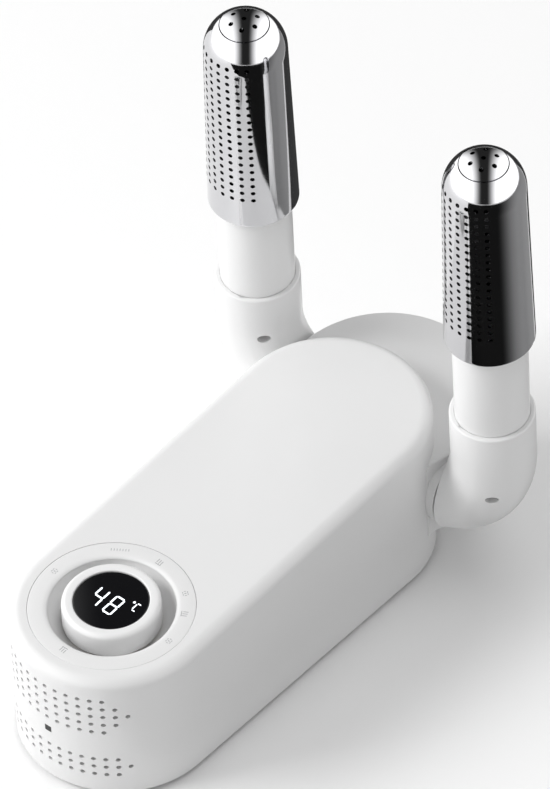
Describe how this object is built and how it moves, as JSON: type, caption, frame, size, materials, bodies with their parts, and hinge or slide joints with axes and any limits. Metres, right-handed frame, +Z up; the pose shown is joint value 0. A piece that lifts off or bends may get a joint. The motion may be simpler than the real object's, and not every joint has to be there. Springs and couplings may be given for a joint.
{
  "type": "boot dryer",
  "caption": "Electric boot dryer: a low housing with a rotary dial and display on its sloping top, and swivelling arms with telescopic perforated nozzles.",
  "frame": {"origin": "on the floor, under the middle of the object's box", "axes": "+Z up, +X to the right, +Y from the knob end to the hub"},
  "size_m": [0.1832, 0.2944, 0.2756],
  "materials": {
    "white_satin": "satin moulded",
    "white_knob": "smooth moulded",
    "white_arm": "smooth moulded",
    "grey_plastic": "moulded",
    "screw_steel": "zinc plated",
    "rubber_grey": "soft moulded",
    "black_glass": "polished window",
    "lit_figures": "lit",
    "brass": "stamped",
    "black_plastic": "moulded",
    "filter_fabric": "woven",
    "motor_metal": "turned",
    "heater_ceramic": "pressed mica",
    "aluminium_fins": "rolled",
    "board_green": "coated board",
    "ivory_bush": "turned",
    "dark_chrome": "mirror plated"
  },
  "bodies": {
    "housing": {"upper_shell": "white_satin", "base_cover": "grey_plastic", "base_screws": "screw_steel", "feet": "rubber_grey", "icon_ring": "white_satin", "knob_well": "white_satin", "push_switch": "black_plastic", "indicator_window": "black_plastic", "filter_frame": "grey_plastic", "filter_mesh": "filter_fabric", "fan_frame": "black_plastic", "fan_screws": "screw_steel", "fan_motor": "motor_metal", "heater_frame": "heater_ceramic", "heater_fins": "aluminium_fins", "heater_terminals": "brass", "thermal_cutoff": "screw_steel", "air_sensor": "black_plastic", "duct_gasket": "rubber_grey", "air_duct": "grey_plastic", "control_board": "board_green", "board_components": "black_plastic", "power_inlet": "black_plastic", "inlet_pins": "motor_metal", "left_swivel_bush": "ivory_bush", "right_swivel_bush": "ivory_bush", "left_swivel_seal": "rubber_grey", "right_swivel_seal": "rubber_grey"},
    "display": {"display_carrier": "grey_plastic", "display_module": "lit_figures", "display_lens": "black_glass", "encoder_disc": "brass"},
    "dial": {"knob_ring": "white_knob"},
    "rotor": {"impeller": "black_plastic"},
    "left_arm": {"left_elbow": "white_arm", "left_retaining_ring": "screw_steel", "left_tube": "white_arm", "left_tube_stop": "rubber_grey"},
    "left_nozzle": {"left_nozzle_base": "black_plastic", "left_nozzle_shell": "dark_chrome", "left_nozzle_core": "black_plastic", "left_nozzle_cap": "dark_chrome"},
    "right_arm": {"right_elbow": "white_arm", "right_retaining_ring": "screw_steel", "right_tube": "white_arm", "right_tube_stop": "rubber_grey"},
    "right_nozzle": {"right_nozzle_base": "black_plastic", "right_nozzle_shell": "dark_chrome", "right_nozzle_core": "black_plastic", "right_nozzle_cap": "dark_chrome"}
  },
  "joints": [
    {"name": "display_press", "type": "slide", "parent": "housing", "child": "display", "axis": [0, 0.0558, -0.9984], "range_m": [0, 0.001], "stiffness_N_per_m": 1500, "springref_m": -0.0008},
    {"name": "dial_turn", "type": "hinge", "parent": "display", "child": "dial", "pos_m": [0, -0.09993, 0.0792], "axis": [0, -0.0558, 0.9984], "continuous": true},
    {"name": "fan_spin", "type": "hinge", "parent": "housing", "child": "rotor", "pos_m": [0, -0.0419, 0.04439], "axis": [0, 0.9984, 0.0558], "continuous": true},
    {"name": "left_swivel", "type": "hinge", "parent": "housing", "child": "left_arm", "pos_m": [-0.05, 0.09004, 0.04375], "axis": [1, 0, 0], "range_deg": [-90, 90]},
    {"name": "left_telescope", "type": "slide", "parent": "left_arm", "child": "left_nozzle", "axis": [0, 0.0558, -0.9984], "range_m": [0, 0.046]},
    {"name": "right_swivel", "type": "hinge", "parent": "housing", "child": "right_arm", "pos_m": [0.05, 0.09004, 0.04375], "axis": [1, 0, 0], "range_deg": [-90, 90]},
    {"name": "right_telescope", "type": "slide", "parent": "right_arm", "child": "right_nozzle", "axis": [0, 0.0558, -0.9984], "range_m": [0, 0.046]}
  ]
}
